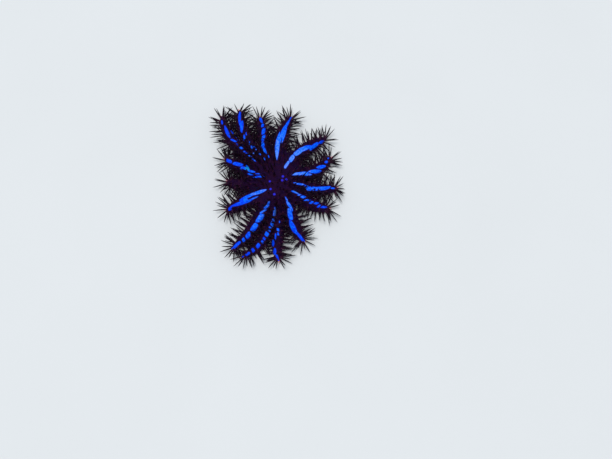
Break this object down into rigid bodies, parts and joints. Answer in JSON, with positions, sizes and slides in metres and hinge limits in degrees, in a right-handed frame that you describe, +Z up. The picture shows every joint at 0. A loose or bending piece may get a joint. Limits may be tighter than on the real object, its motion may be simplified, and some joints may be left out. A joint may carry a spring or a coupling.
{
  "type": "crown-of-thorns starfish",
  "caption": "Spiny many-armed starfish, life size, lying flat with its bent arms spread around an oval disc.",
  "frame": {"origin": "middle of the whole model's box, at the level of the floor that it rests on", "axes": "+Z up from the floor; +Y towards the two long arms at the top of the picture, away from its viewer; +X to the picture's right"},
  "size_m": [0.2992, 0.3748, 0.0581],
  "materials": {
    "skin": "velvety dark purple skin with vivid blue bands along the arms",
    "spine": "near-black purple spines with maroon skin at the root and paler points",
    "feeler": "moist pink flesh",
    "mouth_membrane": "moist pale flesh",
    "tube_feet": "moist, pale yellow-brown flesh"
  },
  "bodies": {
    "root": {"disc": "skin", "arm_01": "skin", "arm_02": "skin", "arm_03": "skin", "arm_04": "skin", "arm_05": "skin", "arm_06": "skin", "arm_07": "skin", "arm_08": "skin", "arm_09": "skin", "arm_10": "skin", "arm_11": "skin", "arm_12": "skin", "arm_13": "skin", "arm_14": "skin", "arm_15": "skin", "eyespot_01": "feeler", "eyespot_02": "feeler", "eyespot_03": "feeler", "eyespot_04": "feeler", "eyespot_05": "feeler", "eyespot_06": "feeler", "eyespot_07": "feeler", "eyespot_08": "feeler", "eyespot_09": "feeler", "eyespot_10": "feeler", "eyespot_11": "feeler", "eyespot_12": "feeler", "eyespot_13": "feeler", "eyespot_14": "feeler", "eyespot_15": "feeler", "mouth": "mouth_membrane"}
  },
  "joints": []
}
